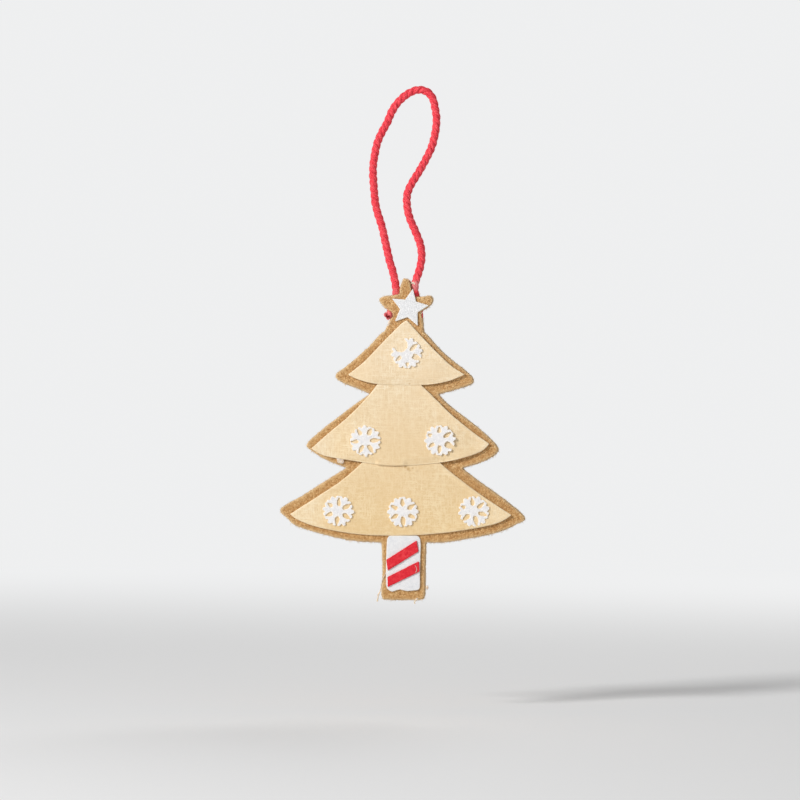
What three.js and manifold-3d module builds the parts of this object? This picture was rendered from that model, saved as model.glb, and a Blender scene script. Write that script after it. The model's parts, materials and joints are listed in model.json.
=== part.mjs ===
// Felt tree ornament. Two layers of thick felt are glued together with the ends of a hanging cord between
// them, and carry a star, three overlapping tiers, snowflakes and a striped trunk patch.
// Millimetres, +Z up, the front faces -Y. The origin is the inside top of the hanging loop.
import * as THREE from 'three';
import { mergeVertices } from 'three/addons/utils/BufferGeometryUtils.js';
import Module from 'manifold-3d';

const wasm = await Module();
wasm.setup();

// Felt tree, from its star-shaped head down to the trunk
const headWidth = 21.2;
const headHeight = 21.2;
const neckWidth = 15.4;
const topTierWidth = 54.8;
const topTierHeight = 25;
const upperNotchWidth = 27;
const middleTierWidth = 76.2;
const middleTierHeight = 29.5;
const lowerNotchWidth = 45.6;
const bottomTierWidth = 97.2;
const bottomTierHeight = 29.7;
const trunkWidth = 17.2;
const trunkHeight = 23;
const treeCentreX = -6;
const backLayerShift = 0.3;

// Sheets, and the glue between them
const feltThickness = 2.2;
const tierThickness = 1.2;
const starThickness = 1;
const snowflakeThickness = 1;
const patchThickness = 1;
const stripeThickness = 0.9;
const glueFilm = 0.3;
const trimGap = 0.1;

// Trims cut from thin felt
const starRadius = 7.8;
const starNotchRadius = 3.7;
const snowflakeWidth = 12.7;
const patchWidth = 13.8;
const patchHeight = 22.2;

// Cord
const cordDiameter = 3;
const pressedCordThickness = 2;
const pressLength = 3;
const channelClearance = 0.3;
const swingGap = 0.4;
const hingeAboveStar = 2;
const loopStep = 4;
const endStep = 2.5;

const cordSides = 8;
const edgeSteps = 4;
const padSteps = 8;
const starTips = 5;
const starTurn = THREE.MathUtils.degToRad(-10.6);

// Route of the loop, up the left strand, over the top and down the right one
const loopRoute = [
  [-10.3, 0, -72], [-10.9, 0, -69.7], [-11.7, 0.2, -67.3], [-12.4, 0.4, -64.2], [-13.3, 0.7, -60],
  [-14.3, 1, -55.3], [-15.2, 1.2, -51.8], [-16.6, 1.4, -47.6], [-17.5, 1.5, -43.4], [-17.9, 1.5, -39.3],
  [-18.3, 1.4, -34.2], [-18.4, 1.2, -29.8], [-17.8, 1, -25], [-16.6, 0.7, -19.6], [-14.9, 0.5, -15.6],
  [-12.7, 0.3, -11.6], [-11.2, 0.2, -7.9], [-8.6, 0.1, -3.8], [-4.4, 0, -0.1], [0, 0, 1.5],
  [3.5, 0, 0.5], [5.5, 0, -2.1], [6.4, -0.2, -5.6], [7, -0.4, -9.8], [6.6, -0.7, -15.1],
  [5.1, -1, -21.3], [2.8, -1.3, -26.3], [-0.2, -1.5, -31.7], [-3, -1.6, -36.2], [-4.7, -1.5, -40.3],
  [-4.8, -1.3, -44], [-4, -1, -49], [-1.4, -0.7, -55.3], [0.6, -0.4, -60.7], [1.1, -0.2, -65.6],
  [0.4, 0, -69.7], [-0.3, 0, -72],
];
// Routes of the two cord ends, from the hinge line down between the felt layers
const leftEndRoute = [
  [-10.3, 0, -72], [-9.6, 0, -75], [-9.2, 0, -77.8], [-9.1, 0, -80.4], [-9.5, 0, -83.4], [-10.6, 0, -86.2],
  [-12.3, 0, -89],
];
const rightEndRoute = [
  [-0.3, 0, -72], [-1.1, 0, -74.5], [-1.7, 0, -77.2], [-1.6, 0, -80], [-1.1, 0, -83], [-0.4, 0, -86.4],
  [0.4, 0, -89.7],
];

const hingeZ = loopRoute[0][2];
const headTopZ = hingeZ - hingeAboveStar;
const topTierTopZ = headTopZ - headHeight;
const middleTierTopZ = topTierTopZ - topTierHeight;
const bottomTierTopZ = middleTierTopZ - middleTierHeight;
const trunkTopZ = bottomTierTopZ - bottomTierHeight;
const feltFrontY = -(glueFilm / 2 + feltThickness);
const trimBackY = feltFrontY - glueFilm;

// A section's shares run across half its width from the centreline, and down its height from its top
const head = { halfWidth: headWidth / 2, height: headHeight, topZ: headTopZ };
const topTier = {
  halfWidth: topTierWidth / 2,
  height: topTierHeight,
  topZ: topTierTopZ,
  upper: neckWidth,
  lower: upperNotchWidth,
};
const middleTier = {
  halfWidth: middleTierWidth / 2,
  height: middleTierHeight,
  topZ: middleTierTopZ,
  upper: upperNotchWidth,
  lower: lowerNotchWidth,
};
const bottomTier = {
  halfWidth: bottomTierWidth / 2,
  height: bottomTierHeight,
  topZ: bottomTierTopZ,
  upper: lowerNotchWidth,
  lower: trunkWidth,
};
const trunk = { halfWidth: trunkWidth / 2, height: trunkHeight, topZ: trunkTopZ };

// Head, each side from the top tip down to the neck, one list for each smooth stretch between corners
const headPointRightShares = [[0.755, 0.345], [0.98, 0.326], [1.08, 0.396], [1, 0.49]];
const headPointLeftShares = [[-0.49, 0.325], [-0.774, 0.345], [-0.925, 0.415]];
const headRightShares = {
  front: [
    [[0, 0], [0.17, 0.03], [0.24, 0.12], [0.28, 0.23], [0.43, 0.355]],
    [[0.43, 0.355], ...headPointRightShares, [0.634, 0.623]],
    [[0.634, 0.623], [0.67, 0.745], [0.71, 0.877]],
  ],
  back: [
    [[0, 0], [0.19, 0.034], [0.283, 0.132], [0.509, 0.226], [0.57, 0.355]],
    [[0.57, 0.355], ...headPointRightShares, [0.634, 0.623]],
    [[0.634, 0.623], [0.69, 0.745], [0.71, 0.877]],
  ],
};
const headLeftShares = {
  front: [
    [[0, 0], [-0.053, 0.047], [-0.14, 0.174], [-0.17, 0.304]],
    [[-0.17, 0.304], ...headPointLeftShares, [-0.702, 0.557]],
    [[-0.702, 0.557], [-0.566, 0.604], [-0.434, 0.66], [-0.47, 0.745], [-0.55, 0.82], [-0.625, 0.896]],
  ],
  back: [
    [[0, 0], [-0.053, 0.047], [-0.14, 0.174], [-0.17, 0.304]],
    [[-0.17, 0.304], ...headPointLeftShares, [-0.702, 0.557]],
    [[-0.702, 0.557], [-0.6, 0.62], [-0.53, 0.7], [-0.55, 0.8], [-0.625, 0.896]],
  ],
};

// Felt edge of each tier between its two notches
const topTierRightShares = [
  [0.386, 0.123], [0.526, 0.294], [0.683, 0.448], [0.861, 0.602], [0.994, 0.738], [0.978, 0.84],
  [0.721, 0.934],
];
const topTierLeftShares = [
  [-0.352, 0.054], [-0.493, 0.226], [-0.718, 0.448], [-0.858, 0.576], [-0.996, 0.691], [-0.937, 0.789],
  [-0.797, 0.858], [-0.64, 0.925],
];
const middleTierRightShares = [
  [0.458, 0.142], [0.657, 0.341], [0.84, 0.531], [0.982, 0.729], [0.936, 0.835], [0.774, 0.939],
];
const middleTierLeftShares = [
  [-0.515, 0.145], [-0.672, 0.298], [-0.861, 0.488], [-1.017, 0.678], [-0.959, 0.772], [-0.812, 0.89],
];
const bottomTierRightShares = [
  [0.622, 0.194], [0.807, 0.41], [0.988, 0.663], [0.925, 0.755], [0.774, 0.863], [0.583, 0.933], [0.333, 1],
];
const bottomTierLeftShares = [
  [-0.65, 0.183], [-0.831, 0.372], [-1.012, 0.55], [-0.963, 0.668], [-0.871, 0.787], [-0.607, 0.916],
  [-0.403, 0.981],
];
const trunkRightShares = [[1, 0], [0.97, 0.58], [0.96, 0.904], [0.9, 0.99], [0.6, 1]];
const trunkLeftShares = [[-1.03, 0], [-0.986, 0.522], [-1.047, 0.922], [-0.96, 0.99], [-0.6, 1]];

// Cream tiers, in the shares of the felt tier behind each one; a flank may start above its tier's top
const topTierSheetShares = {
  right: [[0.041, -0.179], [0.238, 0.064], [0.519, 0.384], [0.716, 0.578], [0.886, 0.693]],
  under: [
    [0.886, 0.693], [0.673, 0.789], [0.38, 0.85], [0, 0.861], [-0.38, 0.845], [-0.643, 0.782],
    [-0.816, 0.696],
  ],
  left: [[-0.816, 0.696], [-0.573, 0.48], [-0.313, 0.182], [-0.056, -0.102], [0.041, -0.179]],
};
const middleTierSheetShares = {
  right: [[0.071, -0.244], [0.274, -0.004], [0.484, 0.266], [0.715, 0.512], [0.896, 0.679]],
  under: [
    [0.896, 0.679], [0.789, 0.793], [0.524, 0.897], [0.252, 0.949], [0.011, 0.969], [-0.217, 0.966],
    [-0.567, 0.898], [-0.83, 0.84], [-0.972, 0.741],
  ],
  left: [[-0.972, 0.741], [-0.791, 0.533], [-0.567, 0.289], [-0.35, -0.009], [-0.221, -0.244]],
};
const bottomTierSheetShares = {
  right: [[0.211, -0.193], [0.379, 0.049], [0.626, 0.356], [0.884, 0.636]],
  under: [
    [0.884, 0.636], [0.774, 0.739], [0.576, 0.814], [0.3, 0.879], [0, 0.91], [-0.364, 0.895], [-0.693, 0.803],
    [-0.864, 0.704], [-0.937, 0.623],
  ],
  left: [[-0.937, 0.623], [-0.693, 0.367], [-0.489, 0.14], [-0.262, -0.193]],
};

// One half of a snowflake arm: across it and out along it, in shares of the snowflake's radius
const snowflakeArmShares = [
  [0.141, 0.385], [0.167, 0.526], [0.256, 0.654], [0.385, 0.769], [0.34, 0.872], [0.23, 0.872],
  [0.173, 0.827], [0.115, 0.936], [0.07, 1],
];
const snowflakeHubShare = 0.29;

// Trunk patch, a smooth edge round from its top right to its top left, and the corners of its stripes
const patchEdgeShares = [
  [0.8, 0], [0.95, 0.045], [1, 0.18], [0.98, 0.41], [0.957, 0.66], [0.957, 0.893], [0.87, 0.964],
  [0.61, 0.98], [0.2, 0.99], [-0.087, 0.97], [-0.26, 0.964], [-0.435, 0.98], [-0.64, 1], [-0.84, 0.973],
  [-0.98, 0.9], [-1, 0.714], [-0.986, 0.446], [-0.957, 0.18], [-0.92, 0.054], [-0.8, 0],
];
const upperStripeShares = [[-0.98, 0.432], [0.765, 0.086], [0.87, 0.28], [-0.893, 0.618]];
const lowerStripeShares = [[-0.904, 0.74], [0.9, 0.457], [0.94, 0.638], [-0.904, 0.918]];

// Places of the trims and glue pads, in the shares of the section that carries each one
const starPlaceShare = [0.2, 0.56];
const patchCentreShare = -0.03;
const snowflakePlaceShares = {
  top: [[0.04, 0.354]],
  middle: [[-0.404, 0.638], [0.376, 0.631]],
  bottom: [[-0.54, 0.577], [-0.009, 0.592], [0.574, 0.584]],
};
const gluePadShares = [
  { name: 'head_glue', section: head, place: [0.08, 0.5], size: [0.2, 0.1] },
  { name: 'top_tier_glue', section: topTier, place: [0, 0.5], size: [0.3, 0.2] },
  { name: 'middle_tier_glue', section: middleTier, place: [0, 0.5], size: [0.38, 0.17] },
  { name: 'bottom_left_glue', section: bottomTier, place: [-0.45, 0.58], size: [0.22, 0.17] },
  { name: 'bottom_right_glue', section: bottomTier, place: [0.45, 0.58], size: [0.22, 0.17] },
  { name: 'trunk_glue', section: trunk, place: [0, 0.62], size: [0.62, 0.3] },
];

function material(color, roughness) {
  return new THREE.MeshStandardMaterial({ color, roughness, metalness: 0 });
}

const brownFelt = () => material(0xcd9e68, 0.95);
const creamFelt = () => material(0xf3dcb2, 0.93);
const whiteFelt = () => material(0xececf0, 0.92);
const redFelt = () => material(0xdc3440, 0.93);
const redCord = () => material(0xd9333f, 0.85);
const clearGlue = () => material(0xe8dfc8, 0.35);

function named(name, geometry, finish) {
  const mesh = new THREE.Mesh(geometry, finish);
  mesh.name = name;
  return mesh;
}

// Solids for cutting, from closed geometry whose corners are shared
function toSolid(geometry) {
  const bare = geometry.index ? geometry.toNonIndexed() : geometry.clone();
  bare.deleteAttribute('normal');
  bare.deleteAttribute('uv');
  const merged = mergeVertices(bare);
  return new wasm.Manifold(new wasm.Mesh({
    numProp: 3,
    vertProperties: merged.attributes.position.array,
    triVerts: Uint32Array.from(merged.index.array),
  }));
}

function toGeometry(solid) {
  const result = solid.getMesh();
  const geometry = new THREE.BufferGeometry();
  geometry.setAttribute('position', new THREE.BufferAttribute(result.vertProperties, 3));
  geometry.setIndex(new THREE.BufferAttribute(result.triVerts, 1));
  geometry.computeVertexNormals();
  return geometry;
}

// Outlines

function sectionPoint(section, [across, down]) {
  return new THREE.Vector2(across * section.halfWidth, section.topZ - down * section.height);
}

function smoothEdge(points) {
  return new THREE.SplineCurve(points).getPoints((points.length - 1) * edgeSteps);
}

function sectionEdge(section, shares) {
  return smoothEdge(shares.map((share) => sectionPoint(section, share)));
}

// A tier's felt edge on one side, from the notch above its flank to the notch under it
function tierSide(tier, side, shares) {
  const start = new THREE.Vector2(side * tier.upper / 2, tier.topZ);
  const end = new THREE.Vector2(side * tier.lower / 2, tier.topZ - tier.height);
  return smoothEdge([start, ...shares.map((share) => sectionPoint(tier, share)), end]);
}

function outlineShape(points) {
  const open = points.filter((point, i) => !point.equals(points[(i + 1) % points.length]));
  return new THREE.Shape(open);
}

function treeShape(layer) {
  const right = [
    ...headRightShares[layer].flatMap((stretch) => sectionEdge(head, stretch)),
    ...tierSide(topTier, 1, topTierRightShares),
    ...tierSide(middleTier, 1, middleTierRightShares),
    ...tierSide(bottomTier, 1, bottomTierRightShares),
    ...trunkRightShares.map((share) => sectionPoint(trunk, share)),
  ];
  const left = [
    ...headLeftShares[layer].flatMap((stretch) => sectionEdge(head, stretch)),
    ...tierSide(topTier, -1, topTierLeftShares),
    ...tierSide(middleTier, -1, middleTierLeftShares),
    ...tierSide(bottomTier, -1, bottomTierLeftShares),
    ...trunkLeftShares.map((share) => sectionPoint(trunk, share)),
  ];
  return outlineShape([...right, ...left.reverse()]);
}

// A flat sheet in the XZ plane, with its back at y = 0 and its face at y = -thickness
function sheet(shape, thickness) {
  const geometry = new THREE.ExtrudeGeometry(shape, { depth: thickness, bevelEnabled: false });
  return geometry.rotateX(Math.PI / 2);
}

// Cord

function circlePoints(radius, count) {
  return Array.from({ length: count }, (_, i) => {
    const angle = (2 * Math.PI * i) / count;
    return new THREE.Vector2(radius * Math.cos(angle), radius * Math.sin(angle));
  });
}

function tubeAlong(points, radius, step) {
  const curve = new THREE.CatmullRomCurve3(points);
  const steps = Math.ceil(curve.getLength() / step);
  const section = new THREE.Shape(circlePoints(radius, cordSides));
  return new THREE.ExtrudeGeometry(section, { extrudePath: curve, steps, bevelEnabled: false });
}

function loopGeometry() {
  const points = loopRoute.map((place) => new THREE.Vector3(...place));
  const tube = toSolid(tubeAlong(points, cordDiameter / 2, loopStep));
  const knuckles = [points[0], points.at(-1)].map((place) => {
    const ball = new THREE.SphereGeometry(cordDiameter / 2, cordSides, cordSides);
    return toSolid(ball.translate(place.x, place.y, place.z));
  });
  return toGeometry(tube.add(knuckles[0]).add(knuckles[1]));
}

// Points of a cord end, from just under the loop's knuckle to the cut end and a little past it
function endPoints(route, past) {
  const points = route.map((place) => new THREE.Vector3(...place));
  const down = points[1].clone().sub(points[0]).normalize();
  points[0].addScaledVector(down, cordDiameter / 2 + swingGap);
  const onward = points.at(-1).clone().sub(points.at(-2)).normalize();
  points.at(-1).addScaledVector(onward, past);
  return points;
}

// Round above the felt, pressed flat between its layers from pressTopZ down
function endGeometry(route, margin, pressTopZ) {
  const geometry = tubeAlong(endPoints(route, margin), cordDiameter / 2 + margin, endStep);
  const place = geometry.attributes.position;
  const pressed = (pressedCordThickness + 2 * margin) / (cordDiameter + 2 * margin);
  for (let i = 0; i < place.count; i += 1) {
    const depth = THREE.MathUtils.smoothstep(pressTopZ + pressLength - place.getZ(i), 0, pressLength);
    place.setY(i, place.getY(i) * THREE.MathUtils.lerp(1, pressed, depth));
  }
  return geometry;
}

const leftPressTopZ = sectionPoint(head, headLeftShares.front[0].at(-1)).y;
const rightPressTopZ = sectionPoint(head, headRightShares.back[0].at(-2)).y;

// Felt layers, each with the two channels that the cord ends press into it

function feltLayer(layer, backY, shiftX) {
  const blank = toSolid(sheet(treeShape(layer), feltThickness).translate(shiftX, backY, 0));
  const channels = [
    endGeometry(leftEndRoute, channelClearance, leftPressTopZ),
    endGeometry(rightEndRoute, channelClearance, rightPressTopZ),
  ].map((channel) => toSolid(channel.translate(-treeCentreX, 0, 0)));
  return toGeometry(blank.subtract(channels[0]).subtract(channels[1]));
}

// A tier's sheet is hinged at its upper edge, and leans out over the sheet of the tier below it

function tierSheetShape(section, shares) {
  return outlineShape([
    ...sectionEdge(section, shares.right),
    ...sectionEdge(section, shares.under),
    ...sectionEdge(section, shares.left),
  ]);
}

function upperEdgeZ(section, shares) {
  return sectionPoint(section, shares.right[0]).y;
}

// Arms at these clockwise angles from straight up, each followed by the hub's edge between it and the next
function snowflakeShape(armAngles) {
  const radius = snowflakeWidth / 2;
  const turned = (across, out, degrees) => new THREE.Vector2(across * radius, out * radius)
    .rotateAround(new THREE.Vector2(), -THREE.MathUtils.degToRad(degrees));
  const edge = armAngles.flatMap((angle, i) => {
    const nextAngle = i + 1 < armAngles.length ? armAngles[i + 1] : armAngles[0] + 360;
    return [
      ...snowflakeArmShares.map(([across, out]) => turned(-across, out, angle)),
      ...snowflakeArmShares.map(([across, out]) => turned(across, out, angle)).reverse(),
      turned(0, snowflakeHubShare, (angle + nextAngle) / 2),
    ];
  });
  return new THREE.Shape(edge);
}

// The top snowflake has lost one of its arms
const snowflakes = {
  top: [{ name: 'top_snowflake', arms: [20, 80, 148, 207, 264] }],
  middle: [
    { name: 'middle_left_snowflake', arms: [56, 117, 178, 236, 296, 356] },
    { name: 'middle_right_snowflake', arms: [25, 83, 155, 211, 268, 327] },
  ],
  bottom: [
    { name: 'bottom_left_snowflake', arms: [32, 93, 156, 218, 278, 335] },
    { name: 'bottom_centre_snowflake', arms: [27, 88, 147, 211, 270, 328] },
    { name: 'bottom_right_snowflake', arms: [20, 77, 137, 199, 263, 322] },
  ],
};

function tierGroup(tierName, section, shares, nextUpperEdgeZ) {
  const pivotZ = upperEdgeZ(section, shares);
  const group = new THREE.Group();
  group.position.set(0, trimBackY, pivotZ);
  if (nextUpperEdgeZ !== null) {
    group.rotation.x = -Math.atan2(tierThickness + glueFilm, pivotZ - nextUpperEdgeZ);
  }
  const geometry = sheet(tierSheetShape(section, shares), tierThickness).translate(0, 0, -pivotZ);
  group.add(named(`${tierName}_tier`, geometry, creamFelt()));
  snowflakes[tierName].forEach(({ name, arms }, i) => {
    const mesh = named(name, sheet(snowflakeShape(arms), snowflakeThickness), whiteFelt());
    const place = sectionPoint(section, snowflakePlaceShares[tierName][i]);
    mesh.position.set(place.x, -(tierThickness + glueFilm), place.y - pivotZ);
    group.add(mesh);
  });
  return group;
}

function starShape() {
  const points = Array.from({ length: 2 * starTips }, (_, i) => {
    const radius = i % 2 ? starNotchRadius : starRadius;
    const angle = starTurn + Math.PI / 2 - (i * Math.PI) / starTips;
    return new THREE.Vector2(radius * Math.cos(angle), radius * Math.sin(angle));
  });
  return new THREE.Shape(points);
}

// Trunk patch, butted against the lower edge of the bottom tier's sheet
const patch = {
  halfWidth: patchWidth / 2,
  height: patchHeight,
  topZ: sectionPoint(bottomTier, bottomTierSheetShares.under[4]).y - trimGap,
};

function trunkPatchGroup() {
  const group = new THREE.Group();
  group.position.set(patchCentreShare * trunk.halfWidth, trimBackY, 0);
  const edge = sectionEdge(patch, patchEdgeShares);
  group.add(named('trunk_patch', sheet(outlineShape(edge), patchThickness), whiteFelt()));
  const stripes = { upper_stripe: upperStripeShares, lower_stripe: lowerStripeShares };
  for (const [name, shares] of Object.entries(stripes)) {
    const corners = shares.map((share) => sectionPoint(patch, share));
    const stripe = named(name, sheet(new THREE.Shape(corners), stripeThickness), redFelt());
    stripe.position.y = -(patchThickness + glueFilm);
    group.add(stripe);
  }
  return group;
}

function gluePad({ name, section, place, size }) {
  const centre = sectionPoint(section, place);
  const shape = new THREE.Shape();
  shape.absellipse(centre.x, centre.y, size[0] * section.halfWidth, size[1] * section.height, 0, 2 * Math.PI);
  const options = { depth: glueFilm, bevelEnabled: false, curveSegments: padSteps };
  const geometry = new THREE.ExtrudeGeometry(shape, options);
  return named(name, geometry.rotateX(Math.PI / 2).translate(0, glueFilm / 2, 0), clearGlue());
}

const tree = new THREE.Group();
tree.position.x = treeCentreX;
tree.add(named('back_felt', feltLayer('back', glueFilm / 2 + feltThickness, backLayerShift), brownFelt()));
tree.add(named('front_felt', feltLayer('front', -glueFilm / 2, 0), brownFelt()));
gluePadShares.forEach((pad) => tree.add(gluePad(pad)));

const middleSheetTopZ = upperEdgeZ(middleTier, middleTierSheetShares);
const bottomSheetTopZ = upperEdgeZ(bottomTier, bottomTierSheetShares);
tree.add(tierGroup('bottom', bottomTier, bottomTierSheetShares, null));
tree.add(tierGroup('middle', middleTier, middleTierSheetShares, bottomSheetTopZ));
tree.add(tierGroup('top', topTier, topTierSheetShares, middleSheetTopZ));

const star = named('star', sheet(starShape(), starThickness), whiteFelt());
const starPlace = sectionPoint(head, starPlaceShare);
star.position.set(starPlace.x, trimBackY, starPlace.y);
tree.add(star);
tree.add(trunkPatchGroup());

const ornament = new THREE.Group();
ornament.add(named('hanging_loop', loopGeometry(), redCord()));
ornament.add(named('left_cord_end', endGeometry(leftEndRoute, 0, leftPressTopZ), redCord()));
ornament.add(named('right_cord_end', endGeometry(rightEndRoute, 0, rightPressTopZ), redCord()));
ornament.add(tree);

export default ornament;
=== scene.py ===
# Felt tree ornament on a twisted red cord: the looks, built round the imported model.
# Shapes are worked in millimetres and brought to metres when they are finished.
import json
import math

import bmesh
import bpy
import numpy as np
from mathutils import Matrix, Vector, noise
from mathutils.bvhtree import BVHTree
from mathutils.kdtree import KDTree

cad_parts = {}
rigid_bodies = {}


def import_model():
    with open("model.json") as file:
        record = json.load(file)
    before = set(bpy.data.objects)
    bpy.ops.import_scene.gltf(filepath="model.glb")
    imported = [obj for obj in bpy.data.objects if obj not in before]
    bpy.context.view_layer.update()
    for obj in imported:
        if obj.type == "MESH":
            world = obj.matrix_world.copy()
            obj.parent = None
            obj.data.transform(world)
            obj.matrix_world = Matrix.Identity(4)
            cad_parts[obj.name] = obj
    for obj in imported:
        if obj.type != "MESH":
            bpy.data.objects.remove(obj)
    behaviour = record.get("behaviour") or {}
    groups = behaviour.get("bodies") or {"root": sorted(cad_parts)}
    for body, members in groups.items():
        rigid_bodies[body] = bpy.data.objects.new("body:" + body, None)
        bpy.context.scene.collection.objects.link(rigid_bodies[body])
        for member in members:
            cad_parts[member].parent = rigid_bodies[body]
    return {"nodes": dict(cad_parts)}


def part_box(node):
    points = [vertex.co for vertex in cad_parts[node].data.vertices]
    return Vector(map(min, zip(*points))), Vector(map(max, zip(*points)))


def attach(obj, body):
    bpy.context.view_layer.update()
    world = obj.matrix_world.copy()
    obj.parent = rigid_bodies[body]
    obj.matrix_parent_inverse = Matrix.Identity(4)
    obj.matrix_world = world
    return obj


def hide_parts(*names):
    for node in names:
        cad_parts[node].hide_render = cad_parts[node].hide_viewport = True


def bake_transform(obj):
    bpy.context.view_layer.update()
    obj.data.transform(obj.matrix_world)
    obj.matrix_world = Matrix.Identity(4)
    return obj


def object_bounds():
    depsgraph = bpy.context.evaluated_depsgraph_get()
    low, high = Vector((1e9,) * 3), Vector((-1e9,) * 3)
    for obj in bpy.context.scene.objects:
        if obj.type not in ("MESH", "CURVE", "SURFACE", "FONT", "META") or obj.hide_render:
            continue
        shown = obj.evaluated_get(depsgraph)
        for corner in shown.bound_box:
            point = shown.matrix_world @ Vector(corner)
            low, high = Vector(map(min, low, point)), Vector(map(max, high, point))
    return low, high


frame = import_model()
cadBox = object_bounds()
scene = bpy.context.scene
mm = 0.001

# Photograph: its scale at the tree, and the pixel at the inside top of the loop
photo = {"size": 800, "pixel": 0.4, "origin": (419, 93.5)}


def photoPoint(across, down, y=0.0):
    # A point in millimetres, from a pixel of the photograph
    left, top = photo["origin"]
    return Vector(((across - left) * photo["pixel"], y, (top - down) * photo["pixel"]))


def addObject(name, data):
    made = bpy.data.objects.new(name, data)
    scene.collection.objects.link(made)
    return made


# Camera, stage and lamps

cameraSettings = {
    "distance": 1.5,
    "centre": (400, 400),  # the photograph's middle pixel
    "sensor": 36.0,
    "clip": (0.05, 60.0),
}
stageSettings = {
    "floorBelow": 0.045,  # under the trunk
    "floorSize": 12.0,
    "floorColour": (0.80, 0.80, 0.80),
    "backdrop": (0.86, 0.865, 0.87),
    "nearRadius": 0.35,  # past here the floor fades into the backdrop
    "farRadius": 1.3,
    "ambient": 0.24,
}
lampSettings = {
    "key": {"place": (-1.1, -1.02, 0.62), "size": 0.36, "power": 22.8},
    "fill": {"place": (1.2, -1.3, -0.05), "size": 1.4, "power": 5.0},
    "back": {"place": (0.7, 1.5, 0.6), "size": 1.4, "power": 20.0},
}


def makeCamera():
    s = cameraSettings
    data = bpy.data.cameras.new("camera")
    data.sensor_width = s["sensor"]
    wide = photo["size"] * photo["pixel"] * mm
    data.lens = s["sensor"] * s["distance"] / wide
    data.clip_start, data.clip_end = s["clip"]
    camera = addObject("camera", data)
    place = photoPoint(*s["centre"]) * mm
    camera.location = (place.x, -s["distance"], place.z)
    camera.rotation_euler = (math.pi / 2, 0, 0)
    scene.camera = camera


def makeLamp(name, s, target):
    data = bpy.data.lights.new(name, "AREA")
    data.size, data.energy = s["size"], s["power"]
    lamp = addObject(name, data)
    lamp.location = s["place"]
    lamp.rotation_euler = (target - Vector(s["place"])).to_track_quat("-Z", "Y").to_euler()


# Node helpers, for materials and for geometry trees alike

def put(tree, kind, inputs=None, **settings):
    # Adds a node and gives its outputs
    made = tree.nodes.new(kind)
    for name, value in settings.items():
        setattr(made, name, value)
    for key, value in (inputs or {}).items():
        if isinstance(value, bpy.types.NodeSocket):
            tree.links.new(value, made.inputs[key])
        else:
            made.inputs[key].default_value = value
    return made.outputs


def calc(tree, operation, *values):
    return put(tree, "ShaderNodeMath", dict(enumerate(values)), operation=operation)[0]


def times(tree, *values):
    return calc(tree, "MULTIPLY", *values)


def vectorCalc(tree, operation, *values):
    return put(tree, "ShaderNodeVectorMath", dict(enumerate(values)), operation=operation)[0]


def ranged(tree, value, low, high, most=1.0, **settings):
    # From 0 to the most as the value goes from low to high
    inputs = {"Value": value, "From Min": low, "From Max": high, "To Max": most}
    return put(tree, "ShaderNodeMapRange", inputs, **settings)[0]


def emptied(block):
    # The node tree of a new world or material, with nothing in it
    block.use_nodes = True
    block.node_tree.nodes.clear()
    return block.node_tree


def srgb(red, green, blue):
    # A colour as a screen shows it, 0 to 255, made linear
    def linear(value):
        value /= 255
        return value / 12.92 if value <= 0.04045 else ((value + 0.055) / 1.055) ** 2.4

    return (linear(red), linear(green), linear(blue), 1.0)


def makeStage():
    s = stageSettings
    world = bpy.data.worlds.new("backdrop")
    scene.world = world
    tree = emptied(world)
    path = put(tree, "ShaderNodeLightPath")
    seen = calc(tree, "MAXIMUM", path["Is Camera Ray"], path["Is Glossy Ray"])
    seen = calc(tree, "MAXIMUM", seen, path["Is Transmission Ray"])
    ambient = put(tree, "ShaderNodeBackground", {"Color": (1, 1, 1, 1), "Strength": s["ambient"]})
    shown = put(tree, "ShaderNodeBackground", {"Color": (*s["backdrop"], 1), "Strength": 1.0})
    mixed = put(tree, "ShaderNodeMixShader", {0: seen, 1: ambient[0], 2: shown[0]})
    put(tree, "ShaderNodeOutputWorld", {"Surface": mixed[0]})

    material = bpy.data.materials.new("pale_floor")
    tree = emptied(material)
    place = put(tree, "ShaderNodeTexCoord")["Object"]
    far = vectorCalc(tree, "MULTIPLY", place, (1, 1, 0))
    far = put(tree, "ShaderNodeVectorMath", {0: far}, operation="LENGTH")["Value"]
    fade = ranged(tree, far, s["nearRadius"], s["farRadius"], interpolation_type="SMOOTHSTEP")
    fade = times(tree, fade, put(tree, "ShaderNodeLightPath")["Is Camera Ray"])
    plain = put(tree, "ShaderNodeBsdfDiffuse", {"Color": (*s["floorColour"], 1)})
    glow = put(tree, "ShaderNodeEmission", {"Color": (*s["backdrop"], 1), "Strength": 1.0})
    mixed = put(tree, "ShaderNodeMixShader", {0: fade, 1: plain[0], 2: glow[0]})
    put(tree, "ShaderNodeOutputMaterial", {"Surface": mixed[0]})

    half = s["floorSize"] / 2
    level = cadBox[0].z - s["floorBelow"]
    mesh = bpy.data.meshes.new("floor")
    corners = [(-half, -half, level), (half, -half, level), (half, half, level), (-half, half, level)]
    mesh.from_pydata(corners, [], [(0, 1, 2, 3)])
    mesh.materials.append(material)
    addObject("floor", mesh)


scene.view_settings.view_transform = "Standard"
makeCamera()
makeStage()
treeMiddle = (Vector(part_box("front_felt")[0]) + Vector(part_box("front_felt")[1])) / 2
for lampName, lampValues in lampSettings.items():
    makeLamp(lampName, lampValues, treeMiddle)
print("camera, stage and lamps are up")


# Materials

lowNoise, highNoise = 0.35, 0.65  # most of a noise's values lie between these
edgeGrain = 0.9  # how far the grain breaks up a felt's edge colour, a painted highlight on the pale felts


def startMaterial(name):
    material = bpy.data.materials.new(name)
    tree = emptied(material)
    place = put(tree, "ShaderNodeTexCoord")["Object"]
    inMillimetres = put(tree, "ShaderNodeMapping", {"Vector": place, "Scale": [1 / mm] * 3})
    return material, tree, inMillimetres[0]


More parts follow.
